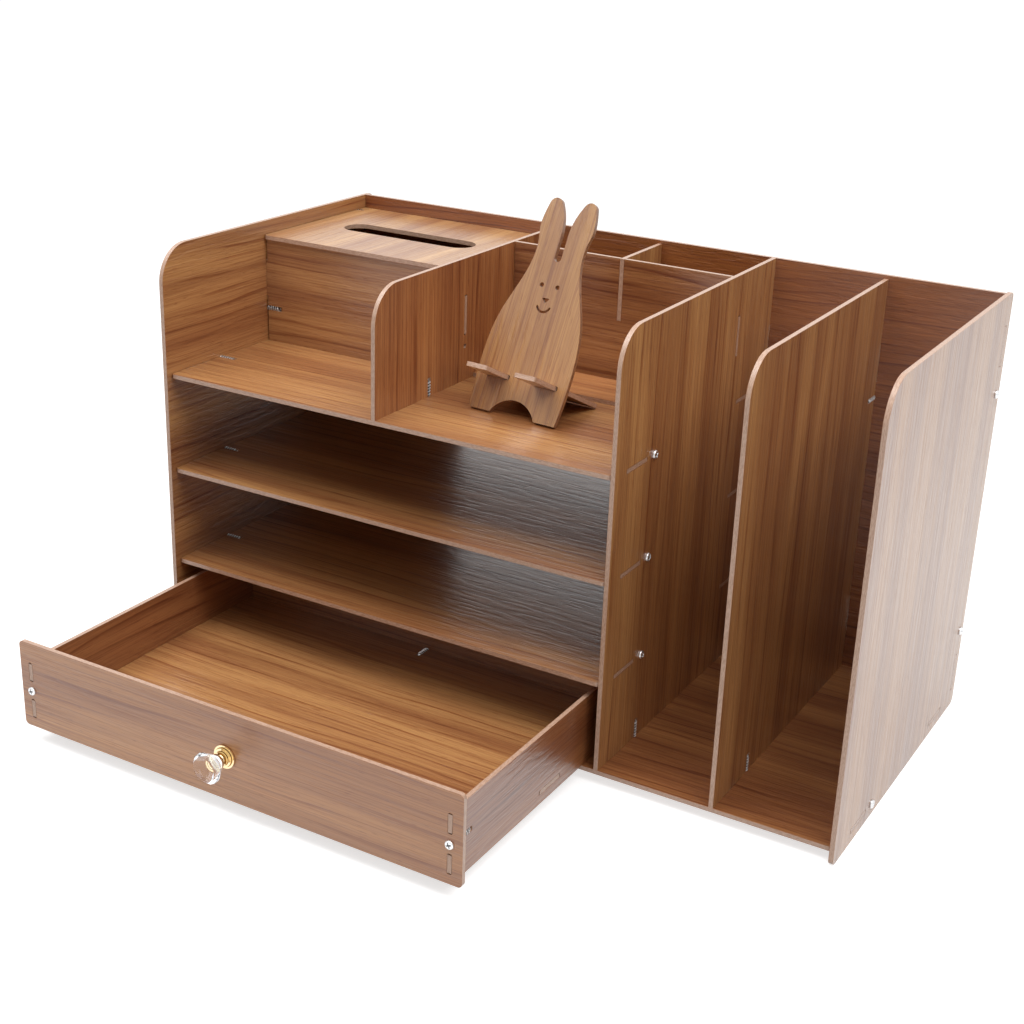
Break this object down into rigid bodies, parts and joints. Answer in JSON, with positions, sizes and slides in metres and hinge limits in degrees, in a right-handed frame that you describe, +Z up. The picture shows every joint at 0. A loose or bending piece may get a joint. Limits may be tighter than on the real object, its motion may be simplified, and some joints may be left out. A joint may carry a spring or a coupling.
{
  "type": "desk organizer with drawer",
  "caption": "Wood-laminate desk organizer with open shelves, file bays, a tissue box with a slotted lid, a pen box, a wide drawer with a crystal knob and a loose phone stand.",
  "frame": {"origin": "middle of the back panel's bottom edge, on the desk", "axes": "+X to the user's right, +Y away from the user, +Z up"},
  "size_m": [0.5036, 0.4109, 0.3388],
  "materials": {
    "wood_laminate": "satin walnut-look laminate",
    "screw_steel": "bright zinc plate",
    "gilt_brass": "polished gilt",
    "clear_crystal": "clear, faceted"
  },
  "bodies": {
    "case": {"left_side_panel": "wood_laminate", "right_side_panel": "wood_laminate", "back_panel": "wood_laminate", "base_panel": "wood_laminate", "centre_partition": "wood_laminate", "file_divider": "wood_laminate", "lower_shelf": "wood_laminate", "middle_shelf": "wood_laminate", "top_shelf": "wood_laminate", "upper_divider": "wood_laminate", "tissue_box_front": "wood_laminate", "pen_box_front": "wood_laminate", "pen_box_divider": "wood_laminate", "stand_stop_strip": "wood_laminate", "left_panel_screws": "screw_steel", "right_panel_screws": "screw_steel", "partition_screws": "screw_steel", "back_panel_screws": "screw_steel", "underside_screws": "screw_steel", "lid_pivot_screws": "screw_steel"},
    "drawer": {"drawer_front": "wood_laminate", "drawer_left_side": "wood_laminate", "drawer_right_side": "wood_laminate", "drawer_back": "wood_laminate", "drawer_bottom": "wood_laminate", "drawer_screws": "screw_steel", "knob_rosette": "gilt_brass", "knob_crystal": "clear_crystal", "knob_screw": "screw_steel"},
    "tissue_lid": {"tissue_lid": "wood_laminate"},
    "phone_stand": {"phone_stand_front": "wood_laminate", "phone_stand_support": "wood_laminate"}
  },
  "joints": [
    {"name": "drawer_slide", "type": "slide", "parent": "case", "child": "drawer", "axis": [0, -1, 0], "range_m": [-0.1505, 0.04]},
    {"name": "lid_hinge", "type": "hinge", "parent": "case", "child": "tissue_lid", "pos_m": [-0.1644, -0.0115, 0.2842], "axis": [-1, 0, 0], "range_deg": [0, 120]},
    {"name": "stand_lift", "type": "slide", "parent": "case", "child": "phone_stand", "axis": [0, 0, 1], "range_m": [0, 0.1]}
  ]
}
